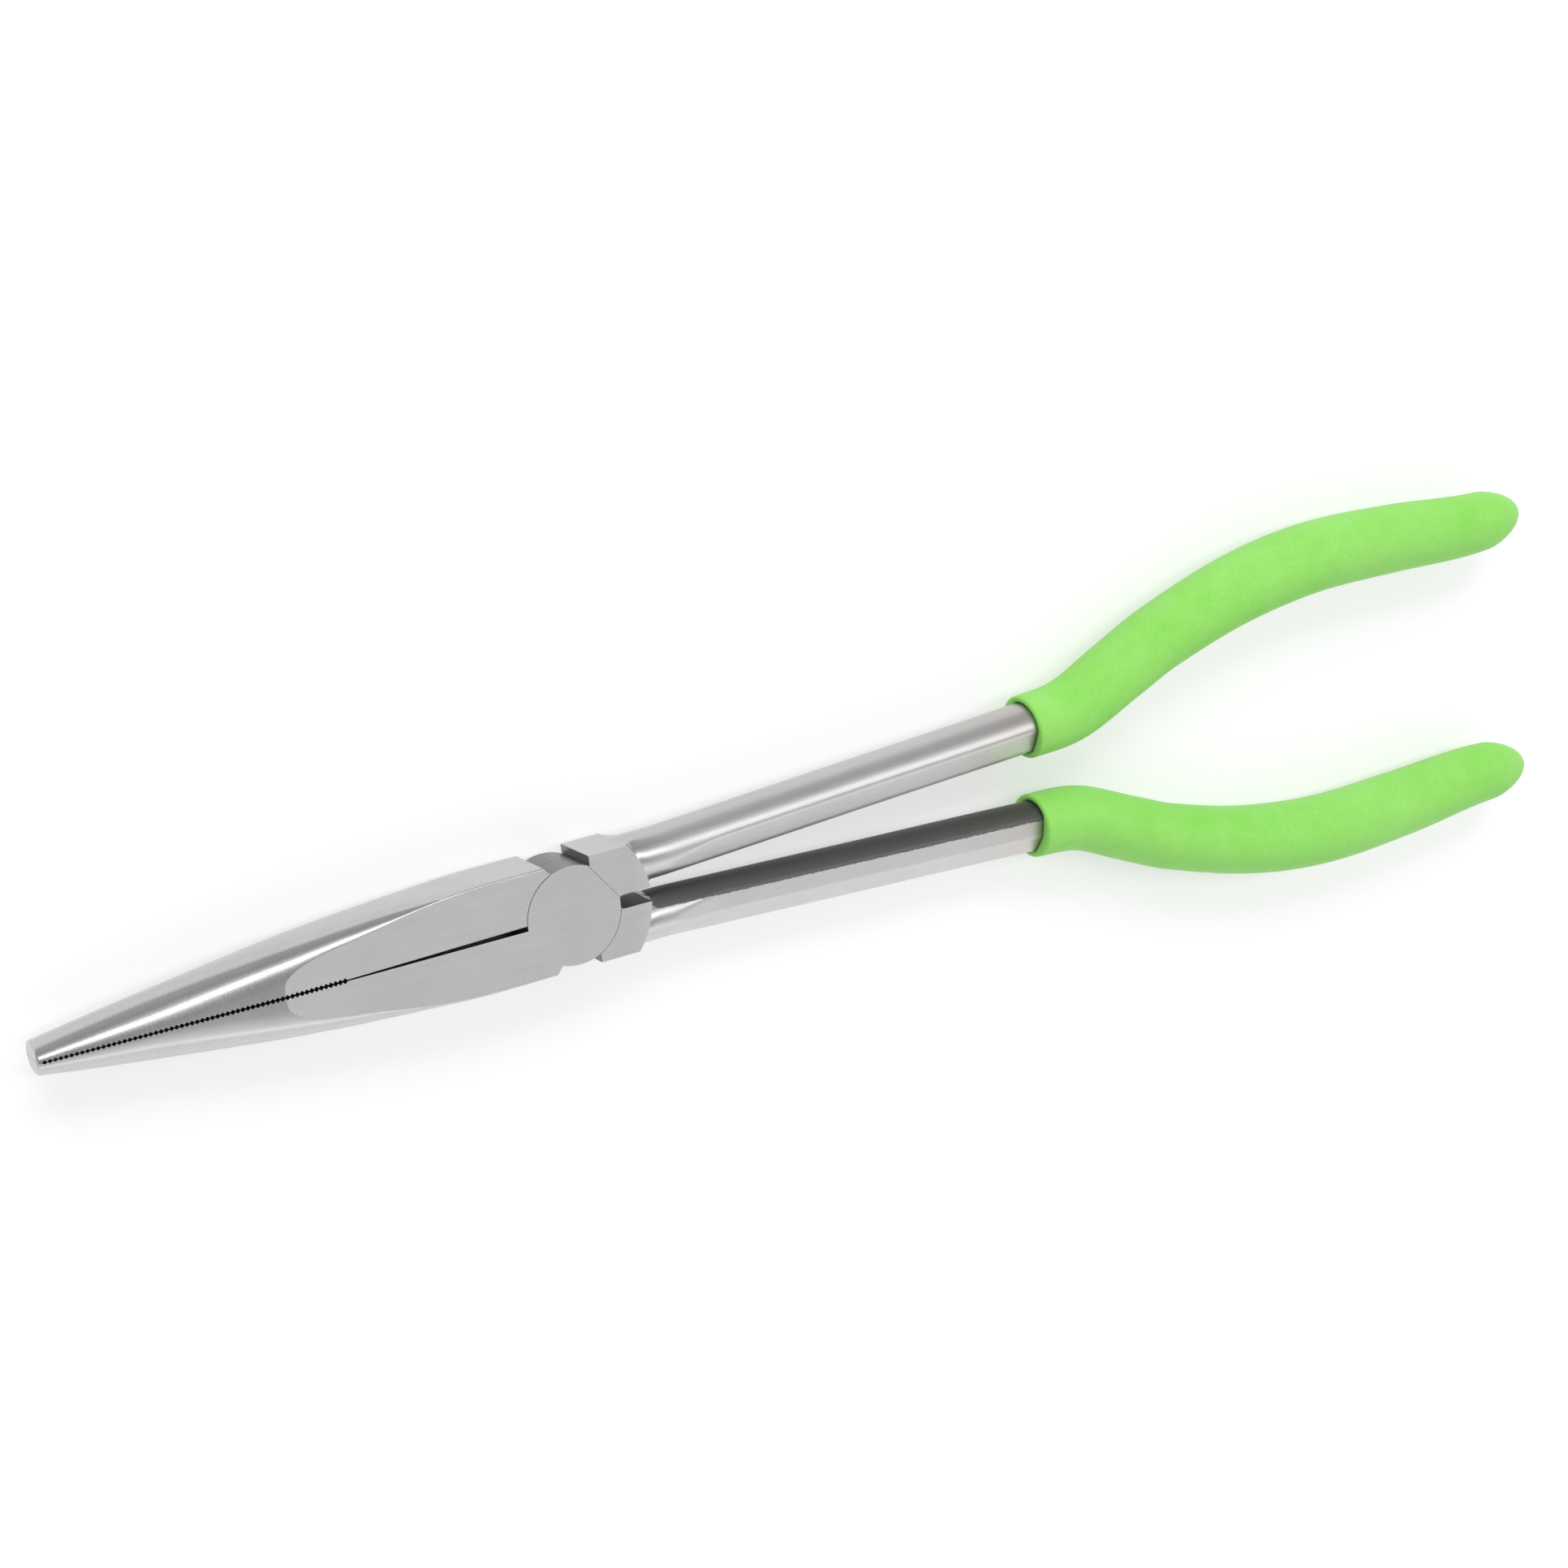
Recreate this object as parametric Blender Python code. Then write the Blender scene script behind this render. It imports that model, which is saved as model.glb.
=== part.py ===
"""Long-reach needle nose pliers: two forged steel levers, crossed in a half-lap joint on one
flush rivet, each with a dipped vinyl grip.

Metres, +Z up. The tool lies flat. The origin is on the rivet's axis, in the plane of the lower
cheek. +X runs from the jaw tips to the grip ends, and +Z is the rivet's axis.
The two levers and the two grips are the same part twice: the back one is the front one turned
half a turn about the X axis through the middle of the head.
"""

import math

import bmesh
import bpy
from mathutils import Matrix, Vector

# Head and joint
JAW_LENGTH = 0.078  # rivet axis to jaw tips
HEAD_WIDTH = 0.0165  # across both jaws at the joint
HEAD_THICKNESS = 0.0092  # cheek to cheek
DISC_INSET = 0.0007  # the round boss of each lever stays this far inside the head's sides
JAW_BACK = 0.0040  # rivet axis forward to the back end of a jaw
JAW_BACK_CHAMFER = 0.0011
SHOULDER = 0.0034  # rivet axis back to the end face of a handle root
CHEEK_RADIUS = 0.01275  # the flat cheek ends on this circle about the rivet
CROTCH_WIDTH = 0.0021  # slot between the handle roots
RIVET_RADIUS = 0.0026

# Jaws
TIP_WIDTH = 0.0046  # across both jaws
TIP_THICKNESS = 0.0058
NOSE_TAPER = 0.064  # length over which the nose widens to HEAD_WIDTH
NOSE_FULLNESS = 1.8  # 1 is a straight taper, more is a fuller nose
# Each row is: part of the jaw's length from the tip, half thickness of the round section before
# the cheeks are ground flat, and its squareness, where 2 is an ellipse.
NOSE_SECTIONS = (
    (0.0, 0.5 * TIP_THICKNESS, 2.2),
    (0.25, 0.0039, 2.5),
    (0.46, 0.0047, 3.9),
    (0.66, 0.0050, 6.0),
    (0.80, 0.0061, 7.5),
    (0.92, 0.0084, 9.0),
    (1.0, 0.0090, 9.0),
)
JAW_GAP = 0.0003  # between the tooth crests, and at the front of the relieved stretch
SLOT_GAP = 0.0008  # between the jaws at the disc
TOOTH_PITCH = 0.0007
TOOTH_DEPTH = 0.0003
TOOTHED_LENGTH = 0.0420
TOOTH_START = 0.0006  # plain land at the very tip

# Handles
SHANK_START = 0.0170  # rivet axis to where the shank is round
SHANK_START_RADIUS = 0.00385
SHANK_END_RADIUS = 0.00420
SHANK_START_OFFSET = 0.00477  # from the middle plane to the shank's axis
SHANK_END_OFFSET = 0.00846
SHANK_LENGTH = 0.0862  # rivet axis to the front edge of the grip
CORE_END_RADIUS = 0.0033  # steel inside the far end of the grip

# Grips
GRIP_LENGTH = 0.1152  # along X
# Each row is: part of the grip's length, and how far the handle's axis is from the middle plane.
GRIP_BENDS = (
    (0.08, 0.0094),
    (0.17, 0.0137),
    (0.25, 0.0175),
    (0.40, 0.0224),
    (0.55, 0.0248),
    (0.72, 0.0247),
    (0.88, 0.0238),
    (1.0, 0.0242),
)
# Each row is: part of the way along the grip, and the grip's skin over the steel's radius at its
# sides and at its faces.
GRIP_SKINS = (
    (0.0, 0.00110, 0.00110),
    (0.12, 0.00141, 0.00166),
    (0.30, 0.00187, 0.00217),
    (0.50, 0.00245, 0.00265),
    (0.75, 0.00248, 0.00248),
    (1.0, 0.00185, 0.00140),
)
GRIP_NOSE = 0.0090  # length of the rounded end
GRIP_NOSE_SHARPNESS = 1.5
GRIP_END_WALL = 0.0020  # vinyl between the steel's end and the start of the rounded end
GRIP_TIP_FLAT = 0.0001  # the rounded end is cut off this far short of its point

# Fits
CLEARANCE = 0.0003  # lap faces, disc in its pocket, grip on its handle
RIVET_CLEARANCE = 0.00015

# Construction
STEP_LENGTH = 0.00025  # length of the step from the head to one handle root
ROOT_MARGIN = 0.0001  # keeps the root's inner wall off the crotch cutter's
CUTTER_REACH = 0.05  # how far a cutter runs past the steel
CREASE_ANGLE = math.radians(32)
DEFAULT_CORNER = math.radians(62)  # where a section with no flat cheek splits its points

# Mesh fineness
RING_SIDE = 7  # steps on each side wall of a section
RING_CHEEK = 4  # steps across each cheek of a section
JAW_RINGS = 26
ROOT_RINGS = 9
SHANK_RINGS = 5
CORE_RINGS = 20
GRIP_RINGS = 28
GRIP_NOSE_RINGS = 7
LIP_STEPS = 3
GRIP_SEGMENTS = 24
DISC_SEGMENTS = 64
RIVET_SEGMENTS = 40

# Worked out from the sizes above
HALF_WIDTH = 0.5 * HEAD_WIDTH
HALF_THICKNESS = 0.5 * HEAD_THICKNESS
DISC_RADIUS = HALF_WIDTH - DISC_INSET
POCKET_RADIUS = DISC_RADIUS + CLEARANCE
WALL_X = POCKET_RADIUS + STEP_LENGTH  # where the head's full width steps in to one handle root
ROOT_X = WALL_X + STEP_LENGTH  # where the handle root's own sections begin

STEEL = (0.56, 0.56, 0.57, 1.0)
RIVET_STEEL = (0.50, 0.50, 0.51, 1.0)
GRIP_GREEN = (0.28, 0.81, 0.14, 1.0)


def between(rows, t, column):
    """The value in a table's column at t, by a smooth curve through the rows."""
    last = len(rows) - 1
    i = min(max(sum(row[0] <= t for row in rows) - 1, 0), last - 1)
    spans = [row[0] for row in rows]
    values = [row[column] for row in rows]

    def slope(k):
        low, high = max(k - 1, 0), min(k + 1, last)
        return (values[high] - values[low]) / (spans[high] - spans[low])

    step = spans[i + 1] - spans[i]
    u = min(max((t - spans[i]) / step, 0.0), 1.0)
    start, end = values[i], values[i + 1]
    return (
        (1 + 2 * u) * (1 - u) ** 2 * start
        + u * (1 - u) ** 2 * step * slope(i)
        + u * u * (3 - 2 * u) * end
        + u * u * (u - 1) * step * slope(i + 1)
    )


def new_object(name, mesh, collection):
    obj = bpy.data.objects.new(name, mesh)
    collection.objects.link(obj)
    return obj


def mesh_from_rings(name, rings):
    """A closed mesh through rings of points, with a flat cap on each end."""
    bm = bmesh.new()
    loops = [[bm.verts.new(point) for point in ring] for ring in rings]
    for first, second in zip(loops, loops[1:]):
        for i in range(len(first)):
            j = (i + 1) % len(first)
            bm.faces.new((first[i], first[j], second[j], second[i]))
    bm.faces.new(loops[0])
    bm.faces.new(loops[-1])
    bmesh.ops.recalc_face_normals(bm, faces=bm.faces)
    bmesh.ops.triangulate(bm, faces=bm.faces)
    mesh = bpy.data.meshes.new(name)
    bm.to_mesh(mesh)
    bm.free()
    return mesh


def prism(name, outline, low, high, collection):
    """A flat outline in the XY plane, as a solid from z = low to z = high."""
    bottom = [Vector((x, y, low)) for x, y in outline]
    top = [Vector((x, y, high)) for x, y in outline]
    return new_object(name, mesh_from_rings(name, [bottom, top]), collection)


def cylinder(name, radius, low, high, segments, collection):
    bm = bmesh.new()
    bmesh.ops.create_cone(
        bm, cap_ends=True, segments=segments, radius1=radius, radius2=radius, depth=high - low
    )
    bmesh.ops.translate(bm, verts=bm.verts, vec=(0, 0, 0.5 * (low + high)))
    mesh = bpy.data.meshes.new(name)
    bm.to_mesh(mesh)
    bm.free()
    return new_object(name, mesh, collection)


def corner_angle(half_thickness, square, clip):
    """The angle at which a section's side wall meets the ground cheek."""
    if clip >= half_thickness:
        return DEFAULT_CORNER
    height = (clip / half_thickness) ** square
    side = (1 - height) ** (1 / square)
    return min(DEFAULT_CORNER, math.atan2(clip / half_thickness, side))


def section_angles(corner):
    """Angles round a section: steps up each side wall, then steps across each cheek."""
    angles = []
    for turn in (0.0, math.pi):
        for i in range(RING_SIDE):
            angles.append(turn - corner + 2 * corner * i / RING_SIDE)
        for i in range(RING_CHEEK):
            angles.append(turn + corner + (math.pi - 2 * corner) * i / RING_CHEEK)
    return angles


def section(centre, half_width, half_thickness, square, clip):
    """One section of a lever as (y, z) points: a superellipse with its two cheeks ground flat.
    clip gives the height of the flat for each y."""
    corner = corner_angle(half_thickness, square, min(clip(centre), half_thickness))
    points = []
    for angle in section_angles(corner):
        c, s = math.cos(angle), math.sin(angle)
        reach = (abs(c) ** square + abs(s) ** square) ** (-1 / square)
        y = centre + half_width * reach * c
        z = half_thickness * reach * s
        flat = clip(y)
        points.append((y, min(max(z, -flat), flat)))
    return points


def head_flat(_y):
    return HALF_THICKNESS


def jaw_rings():
    """Sections of both jaws together, from the tip to just past the disc."""
    rings = []
    for i in range(JAW_RINGS + 1):
        along = i / JAW_RINGS
        from_tip = JAW_LENGTH * along
        taper = min(from_tip / NOSE_TAPER, 1.0)
        widening = 1 - (1 - taper) ** NOSE_FULLNESS
        half_width = 0.5 * TIP_WIDTH + (HALF_WIDTH - 0.5 * TIP_WIDTH) * widening
        half_thickness = between(NOSE_SECTIONS, along, 1)
        square = between(NOSE_SECTIONS, along, 2)
        x = from_tip - JAW_LENGTH
        points = section(0.0, half_width, half_thickness, square, head_flat)
        rings.append([Vector((x, y, z)) for y, z in points])
    _, deep, square = NOSE_SECTIONS[-1]
    points = section(0.0, HALF_WIDTH, deep, square, head_flat)
    rings.append([Vector((WALL_X, y, z)) for y, z in points])
    return rings


def root_rings():
    """Sections of one handle root, from the step in the head to the round shank."""
    _, deep, square = NOSE_SECTIONS[-1]
    inner = 0.5 * CROTCH_WIDTH + ROOT_MARGIN
    start_centre = 0.5 * (HALF_WIDTH + inner)
    start_half = 0.5 * (HALF_WIDTH - inner)
    rings = []
    for i in range(ROOT_RINGS + 1):
        u = i / ROOT_RINGS
        x = ROOT_X + (SHANK_START - ROOT_X) * u
        ease = u * u * (3 - 2 * u)
        centre = start_centre + (SHANK_START_OFFSET - start_centre) * ease
        half_width = start_half + (SHANK_START_RADIUS - start_half) * ease
        half_thickness = deep + (SHANK_START_RADIUS - deep) * math.sqrt(ease)
        squareness = square + (2 - square) * math.sqrt(ease)

        def flat(y, x=x):
            past = (math.hypot(x, y) - CHEEK_RADIUS) / (SHANK_START - CHEEK_RADIUS)
            past = min(max(past, 0.0), 1.0)
            return HALF_THICKNESS - (HALF_THICKNESS - SHANK_START_RADIUS) * past * (2 - past)

        points = section(centre, half_width, half_thickness, squareness, flat)
        rings.append([Vector((x, y, z)) for y, z in points])
    return rings


def handle_axis():
    """Rows of (x, distance from the middle plane) down the bent handle, from the grip's front."""
    rows = [
        (SHANK_START, SHANK_START_OFFSET),
        (0.5 * (SHANK_START + SHANK_LENGTH), 0.5 * (SHANK_START_OFFSET + SHANK_END_OFFSET)),
        (SHANK_LENGTH, SHANK_END_OFFSET),
    ]
    rows += [(SHANK_LENGTH + GRIP_LENGTH * part, offset) for part, offset in GRIP_BENDS]
    return rows


def axis_point(x):
    """The point on the handle's axis at x, and the axis's direction there."""
    rows = handle_axis()
    small = 0.0001
    ahead, behind = min(x + small, rows[-1][0]), max(x - small, rows[0][0])
    point = Vector((x, between(rows, x, 1), 0.0))
    run = Vector((ahead - behind, between(rows, ahead, 1) - between(rows, behind, 1), 0.0))
    return point, run.normalized()


def round_ring(x, half_width, half_thickness, angles):
    """An elliptical section square to the handle's axis."""
    point, run = axis_point(x)
    across = Vector((-run.y, run.x, 0.0))
    up = Vector((0.0, 0.0, 1.0))
    return [
        point + across * half_width * math.cos(a) + up * half_thickness * math.sin(a)
        for a in angles
    ]


def core_radius(x):
    """Radius of the steel handle at x."""
    if x < SHANK_LENGTH:
        u = (x - SHANK_START) / (SHANK_LENGTH - SHANK_START)
        return SHANK_START_RADIUS + (SHANK_END_RADIUS - SHANK_START_RADIUS) * u
    u = (x - SHANK_LENGTH) / GRIP_LENGTH
    return SHANK_END_RADIUS + (CORE_END_RADIUS - SHANK_END_RADIUS) * u


def core_end():
    """Where the steel stops inside the grip."""
    return SHANK_LENGTH + GRIP_LENGTH - GRIP_NOSE - GRIP_END_WALL - CLEARANCE


def handle_rings():
    """Sections of the round shank and of the core that the grip covers."""
    angles = section_angles(DEFAULT_CORNER)
    places = [
        SHANK_START + (SHANK_LENGTH - SHANK_START) * (i + 1) / SHANK_RINGS
        for i in range(SHANK_RINGS)
    ]
    places += [
        SHANK_LENGTH + (core_end() - SHANK_LENGTH) * (i + 1) / CORE_RINGS
        for i in range(CORE_RINGS)
    ]
    return [round_ring(x, core_radius(x), core_radius(x), angles) for x in places]


def arc(start, end, radius, steps):
    """Points on a circle about the rivet, from the start to the end angle in degrees."""
    turns = [math.radians(start + (end - start) * i / steps) for i in range(steps + 1)]
    return [(radius * math.cos(t), radius * math.sin(t)) for t in turns]


def tooth_edge():
    """The lower jaw's gripping edge, from the disc to the tip."""
    back = -math.sqrt(DISC_RADIUS**2 - (0.5 * SLOT_GAP) ** 2)
    toothed_back = -JAW_LENGTH + TOOTH_START + TOOTHED_LENGTH
    crest = -0.5 * JAW_GAP
    points = [(back, -0.5 * SLOT_GAP), (toothed_back, crest)]
    count = round(TOOTHED_LENGTH / TOOTH_PITCH)
    pitch = TOOTHED_LENGTH / count
    for i in range(count):
        left = toothed_back - pitch * i
        points.append((left - 0.5 * pitch, crest - TOOTH_DEPTH))
        points.append((left - pitch, crest))
    points.append((-JAW_LENGTH - CUTTER_REACH, crest))
    return points


def lever_outline():
    """Plan view of the lever at the front of the lap: lower jaw, disc and upper handle root."""
    back_y = -math.sqrt(DISC_RADIUS**2 - (JAW_BACK - JAW_BACK_CHAMFER) ** 2)
    chamfer_angle = math.degrees(math.atan2(back_y, JAW_BACK_CHAMFER - JAW_BACK))
    crotch_angle = math.degrees(math.asin(0.5 * CROTCH_WIDTH / DISC_RADIUS))
    shoulder_angle = math.degrees(math.acos(SHOULDER / DISC_RADIUS))
    slot_angle = 180 + math.degrees(math.asin(0.5 * SLOT_GAP / DISC_RADIUS))
    step_x = WALL_X + 0.5 * CROTCH_WIDTH
    outline = [
        (-JAW_LENGTH - CUTTER_REACH, -CUTTER_REACH),
        (-JAW_BACK, -CUTTER_REACH),
        (-JAW_BACK, -HALF_WIDTH),
    ]
    outline += arc(chamfer_angle, crotch_angle, DISC_RADIUS, DISC_SEGMENTS // 3)
    outline += [
        (step_x, 0.5 * CROTCH_WIDTH),
        (step_x, -CUTTER_REACH),
        (SHANK_LENGTH + GRIP_LENGTH + CUTTER_REACH, -CUTTER_REACH),
        (SHANK_LENGTH + GRIP_LENGTH + CUTTER_REACH, CUTTER_REACH),
        (SHOULDER, CUTTER_REACH),
    ]
    outline += arc(shoulder_angle, slot_angle, DISC_RADIUS, DISC_SEGMENTS // 3)[:-1]
    return outline + tooth_edge()


def boolean(obj, operation, other):
    modifier = obj.modifiers.new(other.name, "BOOLEAN")
    modifier.operation = operation
    modifier.solver = "EXACT"
    modifier.object = other


def settle(obj, name):
    """The object's mesh with its modifiers applied."""
    graph = bpy.context.evaluated_depsgraph_get()
    mesh = bpy.data.meshes.new_from_object(obj.evaluated_get(graph))
    mesh.name = name
    return mesh


def lever_mesh(cutters):
    """The front lever: its disc fills the front half of the head."""
    blank = new_object(
        "lever_blank", mesh_from_rings("blank", jaw_rings() + root_rings() + handle_rings()), cutters
    )
    plan = prism("lever_plan", lever_outline(), -CUTTER_REACH, CUTTER_REACH, cutters)
    pocket = cylinder(
        "disc_pocket", POCKET_RADIUS, -CUTTER_REACH, 0.5 * CLEARANCE, DISC_SEGMENTS, cutters
    )
    hole = cylinder(
        "rivet_hole",
        RIVET_RADIUS + RIVET_CLEARANCE,
        -CUTTER_REACH,
        CUTTER_REACH,
        RIVET_SEGMENTS,
        cutters,
    )
    boolean(blank, "INTERSECT", plan)
    boolean(blank, "DIFFERENCE", pocket)
    boolean(blank, "DIFFERENCE", hole)
    mesh = settle(blank, "lever")
    blank.modifiers.clear()
    return mesh


def grip_half_sizes(along):
    """Half the grip's width and thickness at a part of its length."""
    core = core_radius(SHANK_LENGTH + GRIP_LENGTH * along)
    return core + between(GRIP_SKINS, along, 1), core + between(GRIP_SKINS, along, 2)


def grip_mesh():
    """A sleeve over the handle's core, open at the front with a rounded lip, closed at the end."""
    angles = [2 * math.pi * i / GRIP_SEGMENTS for i in range(GRIP_SEGMENTS)]
    bore_end = core_end() + CLEARANCE
    rings = []
    for i in range(CORE_RINGS + 1):
        x = bore_end + (SHANK_LENGTH - bore_end) * i / CORE_RINGS
        bore = core_radius(min(x, core_end())) + CLEARANCE
        rings.append(round_ring(x, bore, bore, angles))
    bore = core_radius(SHANK_LENGTH) + CLEARANCE
    lip_width, lip_thickness = grip_half_sizes(0.0)
    lip = 0.5 * (lip_width - bore)
    for i in range(1, LIP_STEPS):
        turn = math.pi * i / LIP_STEPS
        share = 0.5 * (1 - math.cos(turn))
        half_width = bore + (lip_width - bore) * share
        half_thickness = bore + (lip_thickness - bore) * share
        x = SHANK_LENGTH - lip * math.sin(turn)
        rings.append(round_ring(x, half_width, half_thickness, angles))
    end = SHANK_LENGTH + GRIP_LENGTH
    places = [
        SHANK_LENGTH + (GRIP_LENGTH - GRIP_NOSE) * i / GRIP_RINGS for i in range(GRIP_RINGS)
    ]
    places += [
        end - GRIP_NOSE * (1 - math.sin(0.5 * math.pi * i / GRIP_NOSE_RINGS))
        for i in range(GRIP_NOSE_RINGS)
    ]
    places.append(end - GRIP_TIP_FLAT)
    for x in places:
        along = (x - SHANK_LENGTH) / GRIP_LENGTH
        nose = max((x - (end - GRIP_NOSE)) / GRIP_NOSE, 0.0)
        narrowing = math.sqrt(1 - nose**GRIP_NOSE_SHARPNESS)
        half_width, half_thickness = grip_half_sizes(along)
        rings.append(round_ring(x, half_width * narrowing, half_thickness * narrowing, angles))
    return mesh_from_rings("grip", rings)


def material(name, color, roughness, metallic):
    made = bpy.data.materials.new(name)
    made.use_nodes = True
    shader = made.node_tree.nodes["Principled BSDF"]
    shader.inputs["Base Color"].default_value = color
    shader.inputs["Roughness"].default_value = roughness
    shader.inputs["Metallic"].default_value = metallic
    return made


def clear_scene():
    for obj in list(bpy.data.objects):
        bpy.data.objects.remove(obj)


def new_collection(name):
    collection = bpy.data.collections.new(name)
    bpy.context.scene.collection.children.link(collection)
    return collection


def place(name, mesh, turned, color, roughness, metallic, collection):
    """Puts a piece on the rivet's axis, turned over about the head's middle if asked."""
    obj = new_object(name, mesh, collection)
    obj.location = (0.0, 0.0, HALF_THICKNESS)
    if turned:
        obj.rotation_euler = (math.pi, 0.0, 0.0)
    mesh.materials.clear()
    mesh.materials.append(material(name, color, roughness, metallic))
    mesh.shade_smooth()
    mesh.set_sharp_from_angle(angle=CREASE_ANGLE)
    return obj


def main():
    clear_scene()
    parts = new_collection("needle_nose_pliers")
    cutters = new_collection("cutters")
    lever = lever_mesh(cutters)
    grip = grip_mesh()
    place("front_lever", lever, False, STEEL, 0.35, 1.0, parts)
    place("back_lever", lever.copy(), True, STEEL, 0.35, 1.0, parts)
    place("front_grip", grip, False, GRIP_GREEN, 0.6, 0.0, parts)
    place("back_grip", grip.copy(), True, GRIP_GREEN, 0.6, 0.0, parts)
    rivet = cylinder("rivet", RIVET_RADIUS, 0.0, HEAD_THICKNESS, RIVET_SEGMENTS, parts)
    rivet.data.transform(Matrix.Translation((0.0, 0.0, -HALF_THICKNESS)))
    rivet.location = (0.0, 0.0, HALF_THICKNESS)
    rivet.data.materials.append(material("rivet", RIVET_STEEL, 0.35, 1.0))
    rivet.data.shade_smooth()
    rivet.data.set_sharp_from_angle(angle=CREASE_ANGLE)
    for cutter in cutters.objects:
        cutter.hide_render = True
        cutter.display_type = "WIRE"


main()
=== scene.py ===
"""Long-reach needle nose pliers, lying closed on a pale floor: the finished steel and vinyl,
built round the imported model.

Metres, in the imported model's frame: the origin is on the rivet's axis in the plane of the lower
cheek, +X runs from the jaw tips to the grip ends and +Z is the rivet's axis. The two levers and
the two grips are the same part twice, so each is made once and its copy is turned over. A lever
and a grip are drawn about the head's middle plane, and are lifted into the frame when seated.
"""

import math

import bmesh
import bpy
from mathutils import Matrix, Vector


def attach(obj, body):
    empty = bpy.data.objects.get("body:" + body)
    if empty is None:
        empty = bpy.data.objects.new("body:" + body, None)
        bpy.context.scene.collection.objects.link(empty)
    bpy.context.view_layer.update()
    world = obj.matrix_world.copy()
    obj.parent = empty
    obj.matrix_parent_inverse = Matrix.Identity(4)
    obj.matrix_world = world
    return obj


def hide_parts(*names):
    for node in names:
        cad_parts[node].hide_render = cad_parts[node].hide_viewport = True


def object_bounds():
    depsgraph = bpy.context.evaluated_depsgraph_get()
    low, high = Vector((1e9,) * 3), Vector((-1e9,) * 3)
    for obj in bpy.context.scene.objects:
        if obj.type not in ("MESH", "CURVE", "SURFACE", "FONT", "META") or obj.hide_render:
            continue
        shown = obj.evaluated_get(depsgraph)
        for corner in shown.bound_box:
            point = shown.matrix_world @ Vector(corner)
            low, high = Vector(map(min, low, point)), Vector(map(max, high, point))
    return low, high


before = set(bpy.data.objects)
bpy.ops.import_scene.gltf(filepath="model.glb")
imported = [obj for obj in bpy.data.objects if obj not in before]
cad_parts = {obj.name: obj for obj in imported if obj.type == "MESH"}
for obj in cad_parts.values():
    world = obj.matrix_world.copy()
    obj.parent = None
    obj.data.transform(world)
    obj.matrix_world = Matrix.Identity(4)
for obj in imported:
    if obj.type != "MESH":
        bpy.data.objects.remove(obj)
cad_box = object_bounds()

# Head and joint
JAW_LENGTH = 0.078  # rivet axis to the jaw tips
HEAD_WIDTH = 0.0165
HEAD_THICKNESS = 0.0092
DISC_RADIUS = 0.00755  # the round boss of each lever
JAW_BACK = 0.0040  # rivet axis forward to the back end of a jaw
JAW_BACK_CHAMFER = 0.0011
SHOULDER = 0.0034  # rivet axis back to the end face of a handle root
CHEEK_RADIUS = 0.01275  # the flat cheek ends on this circle about the rivet
CROTCH_WIDTH = 0.0021  # slot between the handle roots
CROTCH_CORNER = 0.0005
RIVET_RADIUS = 0.0026

# Jaws
TIP_WIDTH = 0.0046  # across both jaws
TIP_THICKNESS = 0.0058
TIP_ROUND = 0.00035
NOSE_TAPER = 0.064  # length over which the nose widens to HEAD_WIDTH
NOSE_FULLNESS = 1.8  # 1 is a straight taper, more is a fuller nose
# part of the jaw's length, half thickness before the cheeks are ground, squareness
NOSE_SECTIONS = (
    (0.0, 0.5 * TIP_THICKNESS, 2.2),
    (0.25, 0.0039, 2.5),
    (0.46, 0.0047, 3.9),
    (0.66, 0.0050, 6.0),
    (0.80, 0.0061, 7.5),
    (0.92, 0.0084, 9.0),
    (1.0, 0.0090, 9.0),
)
TIP_CRISPNESS = 400  # of the corner where a cheek meets the nose: more is sharper
HEAD_CRISPNESS = 60
TIP_GAP = 0.00004  # between the crests of the teeth, opening towards the joint
TOOTH_END_GAP = 0.00022
SLOT_GAP = 0.0008  # between the jaws at the disc
TOOTH_PITCH = 0.0007
TOOTH_DEPTH = 0.00033
TIP_TOOTH_DEPTH = 0.00028
TOOTHED_LENGTH = 0.0420
TOOTH_START = 0.0006  # plain land at the very tip

# Handle roots
WALL_OFFSET = 0.00055  # disc to the last section that still spans the whole head
STEP_LENGTH = 0.00025  # from that section to the first one of a root alone
PLAN_STEP = 0.0012  # the plan trims a root's inner side over this length behind that section
ROOT_FILLET = 0.0028  # concave run-out from the cheek's end down to the shank
ROOT_CORNER = math.radians(52)  # direction of a section's corners once it is round
ROOT_MARGIN = 0.00002  # between a root's sections and the slot that the plan cuts
ROOT_CRISPNESS = 60  # of the block's own corners
ROOT_MELT = 22  # of the corner between the block and the round shank in it: more is sharper
ROOT_MELT_REACH = 20  # more keeps that corner's rounding nearer to it
BLOCK_NARROWING = 0.30  # part of its width that the block loses on the way to the shank
BLOCK_NARROWS_FROM = 0.35  # part of the root's length
BLOCK_FALL = 0.35  # part of its height that it loses after the run-out
ROUND_GROWTH = 0.16  # part of its radius that the shank gains inside the block
ROUND_GROWS_FROM = 0.1  # part of the root's length
ROUND_GROWS_OVER = 0.5

# Handles
SHANK_START = 0.0170  # rivet axis to where the shank is round
SHANK_START_RADIUS = 0.00385
SHANK_END_RADIUS = 0.00420
SHANK_START_OFFSET = 0.00477  # from the middle plane to the shank's axis
SHANK_END_OFFSET = 0.00846
SHANK_LENGTH = 0.0862  # rivet axis to the front edge of the grip
CORE_END_RADIUS = 0.0033  # steel inside the far end of the grip

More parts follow.
